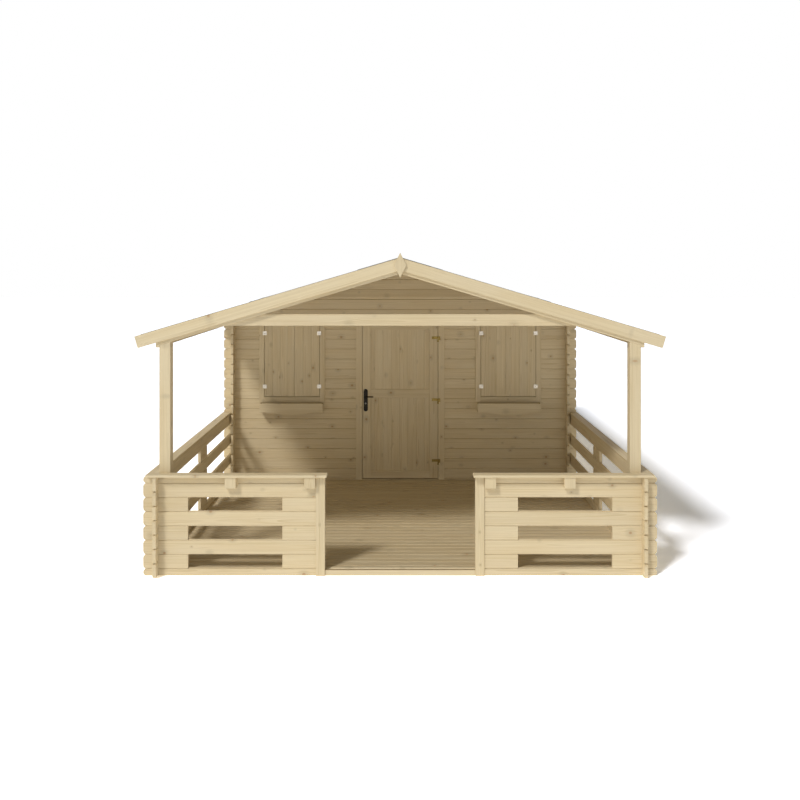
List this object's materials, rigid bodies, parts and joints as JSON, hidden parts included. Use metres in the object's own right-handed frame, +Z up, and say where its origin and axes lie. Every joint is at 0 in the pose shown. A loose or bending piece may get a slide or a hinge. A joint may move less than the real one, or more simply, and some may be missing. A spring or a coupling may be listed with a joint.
{
  "type": "log cabin garden shed with veranda",
  "caption": "Square log-built garden shed with a door, shuttered windows and a railed veranda under one gable roof.",
  "frame": {"origin": "on the ground, at the middle of the footprint's bounding box", "axes": "+X to the right seen from the veranda, +Y from the veranda towards the back wall, +Z up"},
  "size_m": [4.232, 7.019, 2.5644],
  "materials": {
    "log_wood": "planed bare spruce",
    "board_wood": "planed bare spruce boards",
    "floor_wood": "planed bare spruce floor boards",
    "felt": "mineral roofing felt, matt",
    "brass": "plain yellow metal",
    "steel": "bright plated steel, satin",
    "black_metal": "black satin paint",
    "window_glass": "clear"
  },
  "bodies": {
    "shed": {"left_wall": "log_wood", "right_wall": "log_wood", "back_wall": "log_wood", "back_gable": "log_wood", "front_wall_left": "log_wood", "front_wall_right": "log_wood", "front_gable": "log_wood", "cabin_floor": "floor_wood", "veranda_floor": "floor_wood", "floor_bearers": "log_wood", "threshold": "board_wood", "door_frame": "board_wood", "door_hinge_pins": "brass", "left_window_frame": "board_wood", "right_window_frame": "board_wood", "window_sashes": "board_wood", "window_glass": "window_glass", "left_shutters": "board_wood", "right_shutters": "board_wood", "shutter_clips": "steel", "window_boxes": "board_wood", "front_left_rail": "log_wood", "front_right_rail": "log_wood", "left_rail": "log_wood", "right_rail": "log_wood", "entrance_posts": "board_wood", "rail_caps": "board_wood", "cap_brackets": "board_wood", "porch_posts": "board_wood", "eave_plates": "log_wood", "purlins": "log_wood", "front_rafters": "log_wood", "collar_beam": "log_wood", "left_roof_deck": "board_wood", "right_roof_deck": "board_wood", "roof_felt": "felt", "front_bargeboards": "board_wood", "back_bargeboards": "board_wood", "eave_fascias": "board_wood", "finials": "board_wood"},
    "door": {"door_leaf": "board_wood", "door_hinge_straps": "brass", "door_handle_plates": "black_metal", "door_lock_cylinder": "steel"},
    "lever": {"door_lever": "black_metal"}
  },
  "joints": [
    {"name": "door_hinge", "type": "hinge", "parent": "shed", "child": "door", "pos_m": [0.4285, -0.525, 0.953], "axis": [0, 0, 1], "range_deg": [0, 165]},
    {"name": "lever_turn", "type": "hinge", "parent": "door", "child": "lever", "pos_m": [-0.39, -0.5165, 0.985], "axis": [0, 1, 0], "range_deg": [0, 40], "stiffness_Nm_per_rad": 2, "springref_deg": -11.46}
  ]
}
